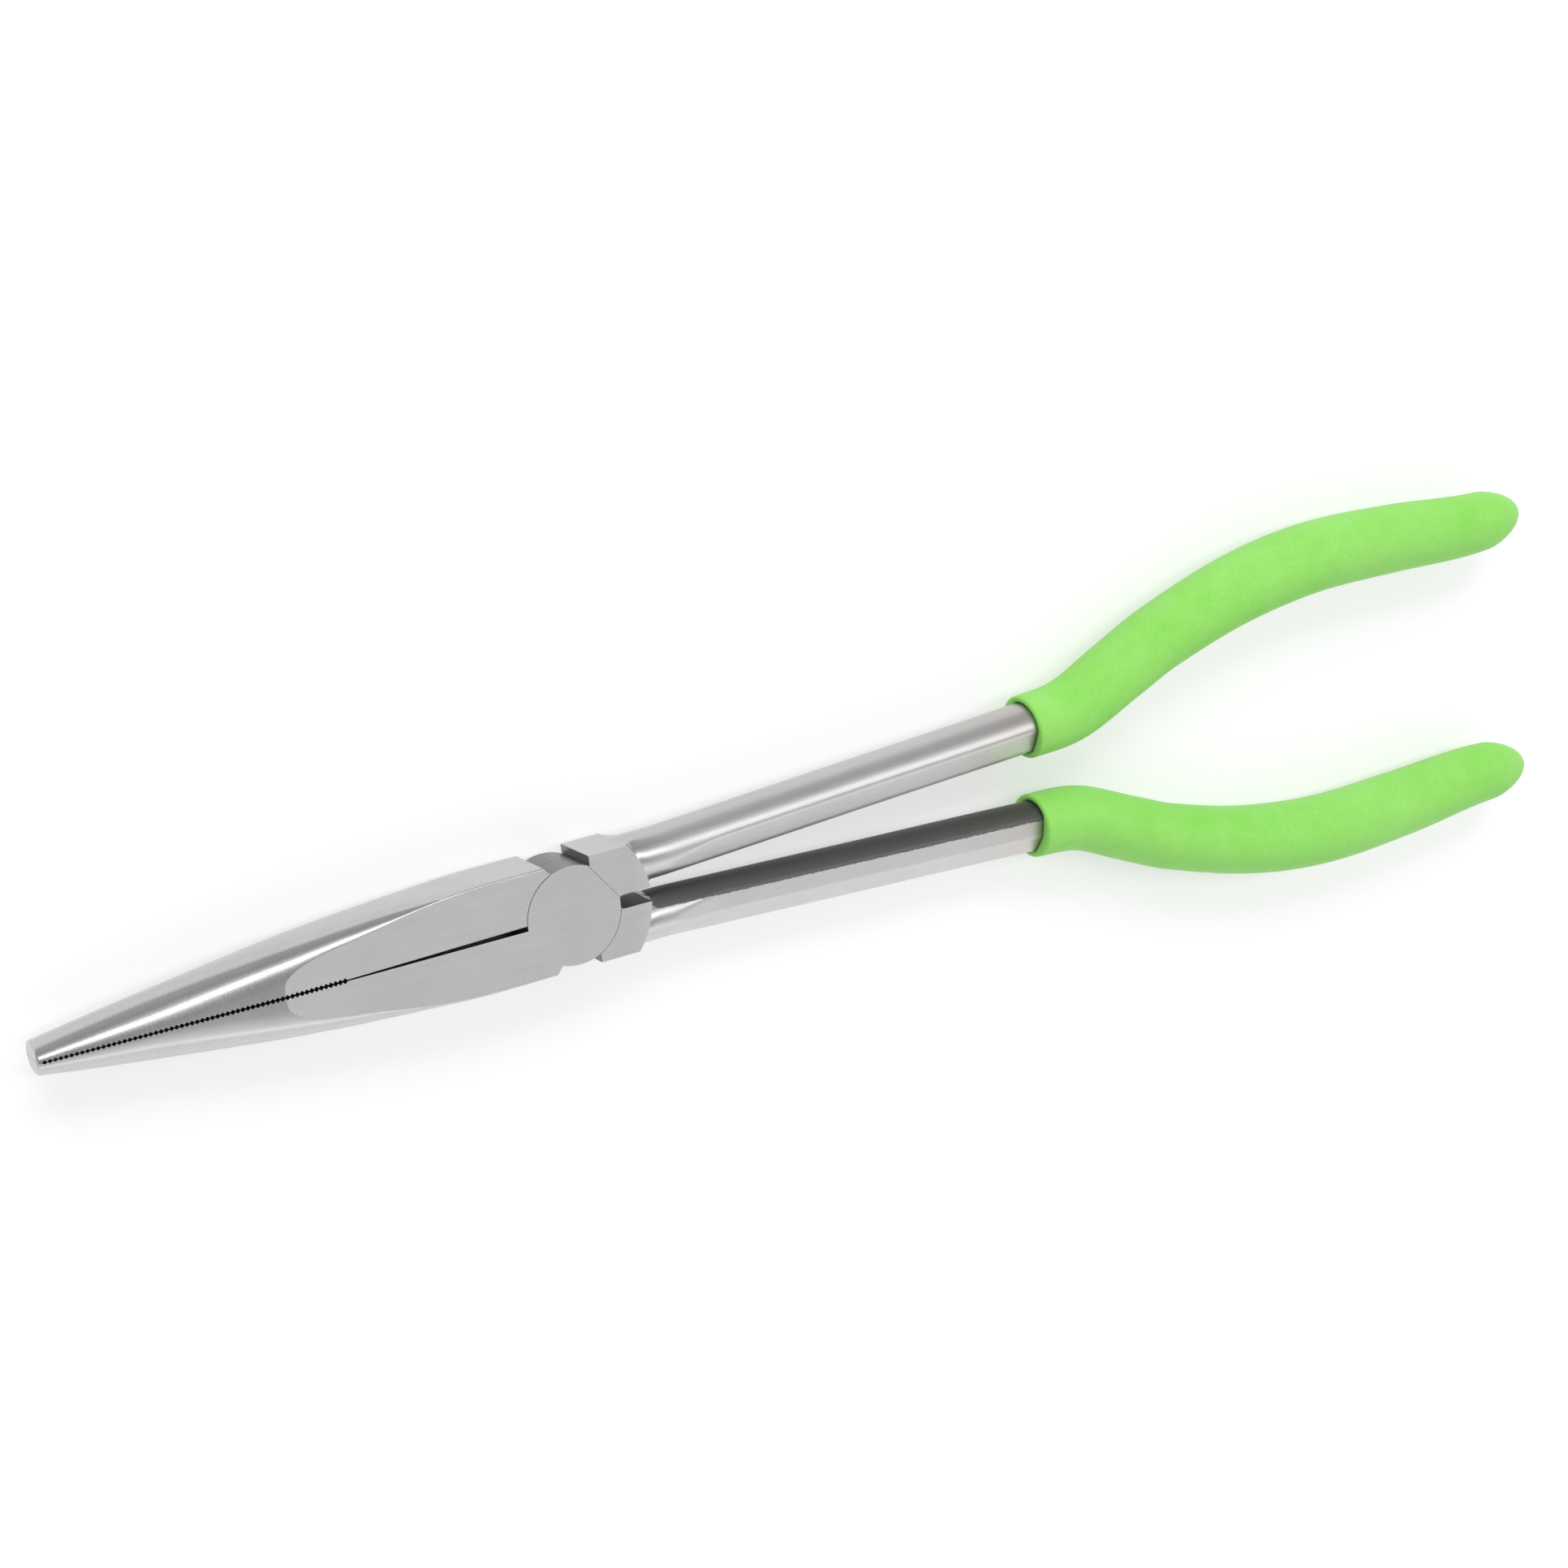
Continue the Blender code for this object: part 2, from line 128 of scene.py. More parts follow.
# Flats ground along a shank: direction in degrees round it, from its outer side towards the front,
# and how far out the flat lies, as a part of the radius
SHANK_FLATS = ((119, 0.85), (277, 0.777), (303, 0.782))
FLATS_START = 0.0150
FLATS_RUN = 0.012  # length over which the flats come in
FLATS_CRISPNESS = 150
FORGED_MIDDLE = 206  # the rough band left along a shank's inner side, in the same degrees
FORGED_HALF = 39
FORGED_FADE = 20
FORGED_START = 0.0125  # X where the band comes in
FORGED_RUN = 0.002

# Grips
GRIP_LENGTH = 0.11514
# part of the grip's length, from the middle plane to its axis
GRIP_BENDS = (
    (0.08, 0.0094),
    (0.17, 0.0137),
    (0.25, 0.0175),
    (0.40, 0.0224),
    (0.55, 0.0248),
    (0.72, 0.0247),
    (0.88, 0.0238),
    (1.0, 0.0242),
)
# part of the grip's length, skin over the steel at the sides and at the faces
GRIP_SKINS = (
    (0.0, 0.00110, 0.00110),
    (0.12, 0.00141, 0.00166),
    (0.30, 0.00187, 0.00217),
    (0.50, 0.00245, 0.00265),
    (0.75, 0.00248, 0.00248),
    (1.0, 0.00185, 0.00140),
)
GRIP_NOSE = 0.0090  # length of the rounded end
GRIP_NOSE_SHARPNESS = 1.5
GRIP_END_WALL = 0.0020
GRIP_TIP_FLAT = 0.0001  # the rounded end is cut off this far short of its point

# Fits and edges
LAP_GAP = 0.00005  # half the parting line between the two discs
DISC_GAP = 0.00005  # disc to its pocket
RIVET_GAP = 0.000002
GRIP_GAP = 0.00004
CORE_END_GAP = 0.0003  # more room beyond the steel, inside the end of a grip
RIM = 0.00009  # broken edge round the plan of a lever
POCKET_RIM = 0.00005
CHEEK_SKIN = 0.00002  # ground off each cheek by the plan
ROOT_SKIN = 0.0003  # more of it over the handle roots
CUTTER_REACH = 0.05
HOLE_REACH = 0.02
SCRIBED_LINE = ((0.0030, 0.0071), (0.0075, 0.0010))  # fine line beside the disc
SCRIBE_RADIUS = 0.0004
SCRIBE_DEPTH = 0.00006

# How finely it is drawn
TIP_RINGS = (0.0, 0.06, 0.2, 0.42, 0.7)  # parts of TIP_ROUND
JAW_RING_STEP = 0.00035
JAW_RINGS = 192
LAP_RINGS = 10
BLOCK_RINGS = 8
RUN_OUT_TURNS = (2, 5, 9, 14, 20, 27, 35, 44, 54, 65, 77, 90)
MELT_RINGS = 12
SHANK_RINGS = 64
CORE_RINGS = 26
SIDE_STEPS = 18
CHEEK_STEPS = 24
MOST_CORNER = math.radians(62)
DISC_STEPS = 72
CORNER_STEPS = 8
POCKET_SEGMENTS = 192
RIVET_SEGMENTS = 96
GRIP_SEGMENTS = 64
BORE_RINGS = 16
LIP_RINGS = 10
GRIP_RINGS = 110
GRIP_NOSE_RINGS = 18
NEAR = 1e-6
FLAT = 0.99999  # a face whose normal is this close to Z is part of a ground cheek
STEEL_CREASE = 28
GRIP_CREASE = 60

# Colours
STEEL = (0.52, 0.52, 0.522, 1.0)
CHEEK_STEEL = (0.56, 0.56, 0.562, 1.0)
# painted shade: machine-finished walls round the joint and the end faces, darkened to about half
# the steel's brightness as though in shade
MACHINED_SHADED_STEEL = (0.24, 0.24, 0.245, 1.0)
# painted shade: near black on the jaws' toothed faces, for the shade in the gap between them
JAW_GAP_SHADE = (0.20, 0.20, 0.20, 1.0)
HEAT_TINT = (0.56, 0.49, 0.42, 1.0)
SCALE_DARK = (0.150, 0.144, 0.141, 1.0)
SCALE_LIGHT = (0.210, 0.203, 0.199, 1.0)
VINYL_DEEP = (0.174, 0.518, 0.055, 1.0)
VINYL_PALE = (0.278, 0.604, 0.152, 1.0)
FLOOR_GREY = (0.50, 0.50, 0.50, 1)
WHITE = (1, 1, 1, 1)

# Where the steel's masks lie
JOINT_REACH = 0.001  # walls up to this far outside the disc are machine-finished and painted dark as shade
END_FACES = (-0.005, 0.004)  # X between which an end face of a jaw or a root is machine-finished and painted dark as shade
JAW_GAP_SHADE_REACH = 0.0008  # faces this close to the middle plane, between the jaws, are painted dark as the gap's shade

# Patterns on the steel: how many waves of noise a metre holds along X, Y and Z
GRAIN_ALONG = (70, 4200, 4200)
GRAIN_ROUND_NOSE = (5200, 900, 900)
SCRATCHES = (160, 4500, 400)
SCRATCH_TURNS = (0.5, -0.9, 1.35)
SCRATCH_LEVELS = (0.735, 0.80)  # noise between which a scratch comes in
NOISE_SPAN = (0.25, 0.75)  # most of a noise's values lie between these
FORGED_EDGE = (1300, 4200, 4200)
FORGED_EDGE_LEVELS = (0.47, 0.55)
NOSE_GRAIN = (-0.034, -0.044)  # X between which the grain turns from along to round
HANDLE_FINISH = (0.010, 0.018)  # X between which the head's finish becomes the handle's
HEAT_TINTED = (0.066, 0.086)  # X between which the tint deepens

# Camera and light
LENS = 54.67
SENSOR = 36.0
CAMERA_PLACE = (-0.13637, 0.10840, 0.31114)
CAMERA_TURN = (-12.009, -31.397, -7.031)
FLOOR_SIZE = 60
FLOOR_DROP = 0.0001
FLOOR_GLOW = 0.43
# angle above the +Y horizon over the tool, in degrees, and brightness
SKY = (
    (0, 0.56),
    (30, 0.54),
    (41, 0.42),
    (50, 0.43),
    (59, 0.62),
    (68, 0.80),
    (84, 0.72),
    (92, 0.34),
    (106, 0.34),
    (120, 0.95),
    (134, 1.00),
    (139, 2.30),
    (144, 1.00),
    (165, 1.15),
    (180, 1.15),
)
SKY_AHEAD = 0.65  # of that brightness, towards -X

# Worked out
HALF_WIDTH = 0.5 * HEAD_WIDTH
HALF_THICKNESS = 0.5 * HEAD_THICKNESS
CHEEK = HALF_THICKNESS + CHEEK_SKIN
WALL_X = DISC_RADIUS + WALL_OFFSET
ROOT_X = WALL_X + STEP_LENGTH
TOOTHED_BACK = -JAW_LENGTH + TOOTH_START + TOOTHED_LENGTH
GRIP_END = SHANK_LENGTH + GRIP_LENGTH
CORE_END = GRIP_END - GRIP_NOSE - GRIP_END_WALL - CORE_END_GAP
HANDLE_AXIS = [
    (SHANK_START, SHANK_START_OFFSET),
    (0.5 * (SHANK_START + SHANK_LENGTH), 0.5 * (SHANK_START_OFFSET + SHANK_END_OFFSET)),
    (SHANK_LENGTH, SHANK_END_OFFSET),
] + [(SHANK_LENGTH + GRIP_LENGTH * part, offset) for part, offset in GRIP_BENDS]


# ---------------------------------------------------------------- hand tools


def deselect():
    bpy.ops.object.select_all(action="DESELECT")


def take(obj):
    """Makes obj the only selected, active object."""
    deselect()
    obj.select_set(True)
    bpy.context.view_layer.objects.active = obj


def apply_modifier(obj, kind, **settings):
    take(obj)
    modifier = obj.modifiers.new(kind.lower(), kind)
    for name, value in settings.items():
        setattr(modifier, name, value)
    bpy.ops.object.modifier_apply(modifier=modifier.name)


def cut(obj, tool, operation="DIFFERENCE"):
    """A Boolean of obj with tool, which is then thrown away."""
    apply_modifier(obj, "BOOLEAN", operation=operation, solver="EXACT", object=tool)
    bpy.data.objects.remove(tool)


def between(rows, t, column):
    """The value in a table's column at t, by a smooth curve through the rows."""
    last = len(rows) - 1
    i = min(max(sum(row[0] <= t for row in rows) - 1, 0), last - 1)
    spans = [row[0] for row in rows]
    values = [row[column] for row in rows]

    def slope(k):
        low, high = max(k - 1, 0), min(k + 1, last)
        return (values[high] - values[low]) / (spans[high] - spans[low])

    step = spans[i + 1] - spans[i]
    u = min(max((t - spans[i]) / step, 0.0), 1.0)
    return (
        (1 + 2 * u) * (1 - u) ** 2 * values[i]
        + u * (1 - u) ** 2 * step * slope(i)
        + u * u * (3 - 2 * u) * values[i + 1]
        + u * u * (u - 1) * step * slope(i + 1)
    )


def smooth_step(t):
    t = min(max(t, 0.0), 1.0)
    return t * t * (3 - 2 * t)


def rolled(name, rings):
    """A grid rolled into a tube: its rows go where the rings' points are, its seam is merged and
    its two ends are closed."""
    rows, columns = len(rings), len(rings[0])
    deselect()
    bpy.ops.mesh.primitive_grid_add(x_subdivisions=columns, y_subdivisions=rows - 1, size=1)
    obj = bpy.context.object
    obj.name = name
    for vertex in obj.data.vertices:
        row = round((vertex.co.y + 0.5) * (rows - 1))
        column = round((vertex.co.x + 0.5) * columns) % columns
        vertex.co = rings[row][column]
    bpy.ops.object.mode_set(mode="EDIT")
    bpy.ops.mesh.select_all(action="SELECT")
    bpy.ops.mesh.remove_doubles(threshold=1e-7)
    bpy.ops.mesh.fill_holes(sides=0)
    bpy.ops.mesh.select_all(action="SELECT")
    bpy.ops.mesh.normals_make_consistent(inside=False)
    bpy.ops.object.mode_set(mode="OBJECT")
    return obj


# ---------------------------------------------------------------- the steel's shape


def ends_dense(low, high, steps):
    """Angles from low to high, closer together at both ends."""
    middle, half = 0.5 * (low + high), 0.5 * (high - low)
    return [middle - half * math.cos(math.pi * i / steps) for i in range(steps)]


def section_angles(corner):
    """Directions round a section, closer together at its four corners."""
    angles = []
    for turn in (0.0, math.pi):
        angles += ends_dense(turn - corner, turn + corner, SIDE_STEPS)
        angles += ends_dense(turn + corner, turn + math.pi - corner, CHEEK_STEPS)
    return angles


def soft_most(first, second, crispness):
    """The larger of two values, rounded up where they are nearly equal."""
    most = max(first, second)
    return most * ((first / most) ** crispness + (second / most) ** crispness) ** (1 / crispness)


def section(centre, half_width, half_thickness, square, cheek, crispness):
    """A superellipse whose two cheeks are ground off at the height cheek, with the corner
    between the two surfaces rounded less as crispness grows."""
    cheek = min(cheek, half_thickness)
    side = (1 - min((cheek / half_thickness) ** square, 0.999)) ** (1 / square)
    corner = min(math.atan2(cheek / half_thickness, side), MOST_CORNER)
    points = []
    for angle in section_angles(corner):
        c, s = math.cos(angle), math.sin(angle)
        oval = (abs(c) ** square + abs(s) ** square) ** (1 / square)
        ground = abs(s) * half_thickness / cheek
        reach = 1 / soft_most(oval, ground, crispness)
        points.append((centre + half_width * reach * c, half_thickness * reach * s))
    return points


def jaw_rings():
    """Sections of both jaws together, from the tip to just past the disc."""
    places = [TIP_ROUND * part for part in TIP_RINGS]
    places += [TIP_ROUND + JAW_RING_STEP * i for i in range(JAW_RINGS)]
    start = places[-1] + JAW_RING_STEP
    places += [start + (JAW_LENGTH - start) * i / LAP_RINGS for i in range(LAP_RINGS + 1)]
    rings = []
    for from_tip in places:
        along = from_tip / JAW_LENGTH
        taper = min(from_tip / NOSE_TAPER, 1.0)
        widening = 1 - (1 - taper) ** NOSE_FULLNESS
        inset = 0.0
        if from_tip < TIP_ROUND:
            inset = TIP_ROUND - math.sqrt(TIP_ROUND**2 - (TIP_ROUND - from_tip) ** 2)
        half_width = 0.5 * TIP_WIDTH + (HALF_WIDTH - 0.5 * TIP_WIDTH) * widening - inset
        half_thickness = between(NOSE_SECTIONS, along, 1) - inset
        square = between(NOSE_SECTIONS, along, 2)
        crispness = TIP_CRISPNESS + (HEAD_CRISPNESS - TIP_CRISPNESS) * taper
        points = section(0.0, half_width, half_thickness, square, CHEEK, crispness)
        rings.append([Vector((from_tip - JAW_LENGTH, y, z)) for y, z in points])
    _, deep, square = NOSE_SECTIONS[-1]
    points = section(0.0, HALF_WIDTH, deep, square, CHEEK + ROOT_SKIN, HEAD_CRISPNESS)
    rings.append([Vector((WALL_X, y, z)) for y, z in points])
    return rings


def root_place(y, from_rivet, plane_x, flatness):
    """X of a root section's point at y: on an arc round the rivet, or nearer to a plane."""
    on_arc = math.sqrt(from_rivet**2 - min(max(y, 0.0), HALF_WIDTH) ** 2)
    return on_arc + (plane_x - on_arc) * flatness


def root_rings():
    """Sections of one handle root, each curved round the rivet so that the cheek ends in an arc:
    a block with flat cheeks, a concave run-out behind them and the round shank it melts into."""
    inner = 0.5 * CROTCH_WIDTH + ROOT_MARGIN
    block_centre = 0.5 * (HALF_WIDTH + inner)
    block_half = 0.5 * (HALF_WIDTH - inner)
    back = 2 ** (1 / ROOT_MELT) - 1
    rings = []
    for from_rivet, plane_x, flatness, height in root_stations():
        middle = root_place(block_centre, from_rivet, plane_x, flatness)
        u = (middle - ROOT_X) / (SHANK_START - ROOT_X)
        centre = block_centre + (SHANK_START_OFFSET - block_centre) * smooth_step(u)
        narrowing = smooth_step((u - BLOCK_NARROWS_FROM) / (1 - BLOCK_NARROWS_FROM))
        width = block_half * (1 - BLOCK_NARROWING * narrowing)
        growth = smooth_step((u - ROUND_GROWS_FROM) / ROUND_GROWS_OVER)
        radius = SHANK_START_RADIUS * (1 - ROUND_GROWTH + ROUND_GROWTH * growth)
        settled = flatness if plane_x == SHANK_START else 0.0
        ridge = math.atan2(height, width)
        ring = []
        for angle in section_angles(ridge + (ROOT_CORNER - ridge) * settled):
            c, s = math.cos(angle), math.sin(angle)
            block = 1 / soft_most(abs(c) / width, abs(s) / height, ROOT_CRISPNESS)
            reach = soft_most(block, radius, ROOT_MELT)
            likeness = 1 - abs(block - radius) / max(block, radius)
            reach /= 1 + back * smooth_step(u) * likeness**ROOT_MELT_REACH
            y = centre + reach * c
            ring.append(Vector((root_place(y, from_rivet, plane_x, flatness), y, reach * s)))
        rings.append(ring)
    return rings


def root_stations():
    """For each section of the root: its distance from the rivet, the plane it leans towards and
    how far, and the height of its cheeks."""
    stations = []
    for i in range(BLOCK_RINGS + 1):
        stations.append((CHEEK_RADIUS, ROOT_X, 1 - i / BLOCK_RINGS, CHEEK + ROOT_SKIN))
    for turn in RUN_OUT_TURNS:
        past = ROOT_FILLET * (1 - math.cos(math.radians(turn)))
        height = CHEEK - ROOT_FILLET * math.sin(math.radians(turn))
        stations.append((CHEEK_RADIUS + past, SHANK_START, 0.0, height))
    low = CHEEK - ROOT_FILLET
    for i in range(1, MELT_RINGS + 1):
        share = smooth_step(i / MELT_RINGS)
        height = low * (1 - BLOCK_FALL * share)
        stations.append((CHEEK_RADIUS + ROOT_FILLET, SHANK_START, share, height))
    return stations


def axis_point(x):
    """The point on the handle's axis at x, and the axis's direction there."""
    small = 0.0001
    ahead, behind = min(x + small, HANDLE_AXIS[-1][0]), max(x - small, HANDLE_AXIS[0][0])
    rise = between(HANDLE_AXIS, ahead, 1) - between(HANDLE_AXIS, behind, 1)
    run = Vector((ahead - behind, rise, 0.0)).normalized()
    return Vector((x, between(HANDLE_AXIS, x, 1), 0.0)), run


def round_ring(x, half_width, half_thickness, angles):
    point, run = axis_point(x)
    across = Vector((-run.y, run.x, 0.0))
    up = Vector((0.0, 0.0, 1.0))
    return [
        point + across * half_width * math.cos(a) + up * half_thickness * math.sin(a)
        for a in angles
    ]


def core_radius(x):
    if x < SHANK_LENGTH:
        u = (x - SHANK_START) / (SHANK_LENGTH - SHANK_START)
        return SHANK_START_RADIUS + (SHANK_END_RADIUS - SHANK_START_RADIUS) * u
    u = (x - SHANK_LENGTH) / GRIP_LENGTH
    return SHANK_END_RADIUS + (CORE_END_RADIUS - SHANK_END_RADIUS) * u


def shank_reach(angle, x):
    """How far out the shank's surface lies in a direction round it, as a part of its radius."""
    ease = smooth_step((x - FLATS_START) / FLATS_RUN)
    total = 1.0
    for turn, depth in SHANK_FLATS:
        facing = math.cos(angle - math.radians(turn)) / (1 - (1 - depth) * ease)
        if facing > 0:
            total += facing**FLATS_CRISPNESS
    return total ** (-1 / FLATS_CRISPNESS)


def core_ring(x, at, angles, skin=0.0):
    """The steel's section at x, drawn with its middle at the place at, grown by a skin."""
    point, run = axis_point(at)
    across = Vector((-run.y, run.x, 0.0))
    up = Vector((0.0, 0.0, 1.0))
    ring = []
    for angle in angles:
        reach = core_radius(x) * shank_reach(angle, x) + skin
        ring.append(point + across * reach * math.cos(angle) + up * reach * math.sin(angle))
    return ring


def handle_rings():
    angles = section_angles(ROOT_CORNER)
    shank, core = SHANK_LENGTH - SHANK_START, CORE_END - SHANK_LENGTH
    places = [SHANK_START + shank * (i + 1) / SHANK_RINGS for i in range(SHANK_RINGS)]
    places += [SHANK_LENGTH + core * (i + 1) / CORE_RINGS for i in range(CORE_RINGS)]
    return [core_ring(x, x, angles) for x in places]


def arc(centre, radius, start, end, steps):
    """Points on a circle, from the start to the end angle in degrees."""
    turns = [math.radians(start + (end - start) * i / steps) for i in range(steps + 1)]
    return [(centre[0] + radius * math.cos(t), centre[1] + radius * math.sin(t)) for t in turns]


def tooth_edge():
    """The lower jaw's gripping edge, from the disc to the tip."""
    back = -math.sqrt(DISC_RADIUS**2 - (0.5 * SLOT_GAP) ** 2)
    crest = -0.5 * TOOTH_END_GAP
    points = [(back, -0.5 * SLOT_GAP), (TOOTHED_BACK, crest)]
    count = round(TOOTHED_LENGTH / TOOTH_PITCH)
    pitch = TOOTHED_LENGTH / count
    for i in range(count):
        left = TOOTHED_BACK - pitch * i
        depth = TOOTH_DEPTH + (TIP_TOOTH_DEPTH - TOOTH_DEPTH) * i / count
        crest = -0.5 * (TOOTH_END_GAP + (TIP_GAP - TOOTH_END_GAP) * (i + 1) / count)
        points += [(left - 0.5 * pitch, crest - depth), (left - pitch, crest)]
    points.append((-JAW_LENGTH - CUTTER_REACH, crest))
    return points


def lever_outline():
    """Plan of the front lever: lower jaw, disc and upper handle root."""
    back_y = -math.sqrt(DISC_RADIUS**2 - (JAW_BACK - JAW_BACK_CHAMFER) ** 2)
    chamfer_angle = math.degrees(math.atan2(back_y, JAW_BACK_CHAMFER - JAW_BACK))
    corner_y = 0.5 * CROTCH_WIDTH - CROTCH_CORNER
    corner_x = math.sqrt((DISC_RADIUS + CROTCH_CORNER) ** 2 - corner_y**2)
    crotch_angle = math.degrees(math.atan2(corner_y, corner_x))
    shoulder_angle = math.degrees(math.acos(SHOULDER / DISC_RADIUS))
    slot_angle = 180 + math.degrees(math.asin(0.5 * SLOT_GAP / DISC_RADIUS))
    step_x = WALL_X + PLAN_STEP
    corner = (corner_x, corner_y)
    outline = [
        (-JAW_LENGTH - CUTTER_REACH, -CUTTER_REACH),
        (-JAW_BACK, -CUTTER_REACH),
        (-JAW_BACK, -HALF_WIDTH),
    ]
    outline += arc((0, 0), DISC_RADIUS, chamfer_angle, crotch_angle, DISC_STEPS)
    outline += arc(corner, CROTCH_CORNER, 180 + crotch_angle, 90, CORNER_STEPS)[1:]
    outline += [
        (step_x, 0.5 * CROTCH_WIDTH),
        (step_x, -CUTTER_REACH),
        (GRIP_END + CUTTER_REACH, -CUTTER_REACH),
        (GRIP_END + CUTTER_REACH, CUTTER_REACH),
        (SHOULDER, CUTTER_REACH),
    ]
    outline += arc((0, 0), DISC_RADIUS, shoulder_angle, slot_angle, DISC_STEPS)[:-1]
    return outline + tooth_edge()


def lever_plan():
    """The outline as a plate exactly as thick as the head, with its edges broken."""
    outline = lever_outline()
    mesh = bpy.data.meshes.new("plan")
    points = [(x, y, -HALF_THICKNESS) for x, y in outline]
    mesh.from_pydata(points, [], [range(len(points))])
    plan = bpy.data.objects.new("plan", mesh)
    bpy.context.scene.collection.objects.link(plan)
    take(plan)
    bpy.ops.object.mode_set(mode="EDIT")
    bpy.ops.mesh.select_all(action="SELECT")
    bpy.ops.mesh.extrude_region_move(TRANSFORM_OT_translate={"value": (0, 0, HEAD_THICKNESS)})
    bpy.ops.mesh.select_all(action="SELECT")
    bpy.ops.mesh.normals_make_consistent(inside=False)
    bpy.ops.mesh.select_all(action="DESELECT")
    shape = bmesh.from_edit_mesh(plan.data)
    for edge in shape.edges:
        a, b = (vertex.co for vertex in edge.verts)
        level = abs(a.z - b.z) < NEAR
        round_joint = max(a.xy.length, b.xy.length) < 2 * DISC_RADIUS
        slot = max(abs(a.y), abs(b.y)) < SLOT_GAP and min(a.x, b.x) > TOOTHED_BACK - NEAR
        edge.select_set(level and (round_joint or (slot and a.x < 0)))
    bpy.ops.mesh.bevel(offset=RIM, segments=2, profile=0.5, clamp_overlap=False)
    bpy.ops.object.mode_set(mode="OBJECT")
    return plan


def drum(name, radius, low, high, segments, flare=0.0):
    """A round cutter on the rivet's axis, opening out at its low end by flare."""
    deselect()
    bpy.ops.mesh.primitive_cylinder_add(
        vertices=segments, radius=radius, depth=high - low, location=(0, 0, 0.5 * (low + high))
    )
    obj = bpy.context.object
    obj.name = name
    bpy.ops.object.transform_apply(location=True, rotation=True, scale=True)
    if flare:
        bpy.ops.object.mode_set(mode="EDIT")
        bpy.ops.mesh.select_all(action="DESELECT")
        shape = bmesh.from_edit_mesh(obj.data)
        for face in shape.faces:
            face.select_set(face.normal.z < -0.9)
        wide = (radius + flare + POCKET_RIM) / radius
        bpy.ops.mesh.extrude_region_move(
            TRANSFORM_OT_translate={"value": (0, 0, -flare - POCKET_RIM)}
        )
        bpy.ops.transform.resize(value=(wide, wide, 1))
        bpy.ops.object.mode_set(mode="OBJECT")
    return obj


def scribe(start, end):
    """A long bar lying on its edge, whose corner cuts a fine line into the front cheek."""
    run = Vector(end) - Vector(start)
    middle = (Vector(end) + Vector(start)) / 2
    deselect()
    bpy.ops.mesh.primitive_cylinder_add(vertices=4, radius=SCRIBE_RADIUS, depth=run.length)
    obj = bpy.context.object
    laid_down = Matrix.Rotation(math.pi / 2, 4, "Y")
    turn = Matrix.Rotation(math.atan2(run.y, run.x), 4, "Z") @ laid_down
    height = HALF_THICKNESS + SCRIBE_RADIUS - SCRIBE_DEPTH
    obj.data.transform(Matrix.Translation((middle.x, middle.y, height)) @ turn)
    return obj


def make_lever():
    lever = rolled("lever_front", jaw_rings() + root_rings() + handle_rings())
    cut(lever, lever_plan(), "INTERSECT")
    pocket_radius = DISC_RADIUS + DISC_GAP
    rim_start = -HALF_THICKNESS + POCKET_RIM
    cut(lever, drum("pocket", pocket_radius, rim_start, LAP_GAP, POCKET_SEGMENTS, POCKET_RIM))
    cut(lever, scribe(*SCRIBED_LINE))
    hole_radius = RIVET_RADIUS + RIVET_GAP
    cut(lever, drum("hole", hole_radius, -HOLE_REACH, HOLE_REACH, RIVET_SEGMENTS))
    return lever


def make_grip():
    """A sleeve in one skin: up the bore from its blind end, round the lip and back over the
    outside to the rounded end."""
    angles = [2 * math.pi * i / GRIP_SEGMENTS for i in range(GRIP_SEGMENTS)]
    bore_end = CORE_END + GRIP_GAP
    rings = []
    for i in range(BORE_RINGS + 1):
        x = bore_end + (SHANK_LENGTH - bore_end) * i / BORE_RINGS
        rings.append(core_ring(min(x, CORE_END), x, angles, GRIP_GAP))
    lip_width, lip_thickness = grip_half_sizes(0.0)
    lip = 0.5 * (lip_width - core_radius(SHANK_LENGTH) - GRIP_GAP)
    for i in range(1, LIP_RINGS):
        turn = math.pi * i / LIP_RINGS
        share = 0.5 * (1 - math.cos(turn))
        x = SHANK_LENGTH - lip * math.sin(turn)
        inner = core_ring(SHANK_LENGTH, x, angles, GRIP_GAP)
        outer = round_ring(x, lip_width, lip_thickness, angles)
        rings.append([a.lerp(b, share) for a, b in zip(inner, outer)])
    body = GRIP_LENGTH - GRIP_NOSE
    places = [SHANK_LENGTH + body * i / GRIP_RINGS for i in range(GRIP_RINGS)]
    for i in range(GRIP_NOSE_RINGS):
        places.append(GRIP_END - GRIP_NOSE * (1 - math.sin(0.5 * math.pi * i / GRIP_NOSE_RINGS)))
    places.append(GRIP_END - GRIP_TIP_FLAT)
    for x in places:
        along = (x - SHANK_LENGTH) / GRIP_LENGTH
        nose = max((x - (GRIP_END - GRIP_NOSE)) / GRIP_NOSE, 0.0)
        narrowing = math.sqrt(1 - nose**GRIP_NOSE_SHARPNESS)
        half_width, half_thickness = grip_half_sizes(along)
        rings.append(round_ring(x, half_width * narrowing, half_thickness * narrowing, angles))
    return rolled("grip_front", rings)


def grip_half_sizes(along):
    core = core_radius(SHANK_LENGTH + GRIP_LENGTH * along)
    return core + between(GRIP_SKINS, along, 1), core + between(GRIP_SKINS, along, 2)


def make_rivet():
    return drum("rivet_pin", RIVET_RADIUS, 0.0, HEAD_THICKNESS, RIVET_SEGMENTS)


# ---------------------------------------------------------------- finishes


def math_node(tree, operation, first, second=0.0):
    made = tree.nodes.new("ShaderNodeMath")
    made.operation = operation
    for socket, value in zip(made.inputs, (first, second)):
        if isinstance(value, (int, float)):
            socket.default_value = value
        else:
            tree.links.new(value, socket)
    return made.outputs[0]


def mix_colour(tree, factor, first, second):
    made = tree.nodes.new("ShaderNodeMix")
    made.data_type = "RGBA"
    sockets = (made.inputs[0], made.inputs[6], made.inputs[7])
    for socket, value in zip(sockets, (factor, first, second)):
        if isinstance(value, (int, float, tuple)):
            socket.default_value = value
        else:
            tree.links.new(value, socket)
    return made.outputs[2]


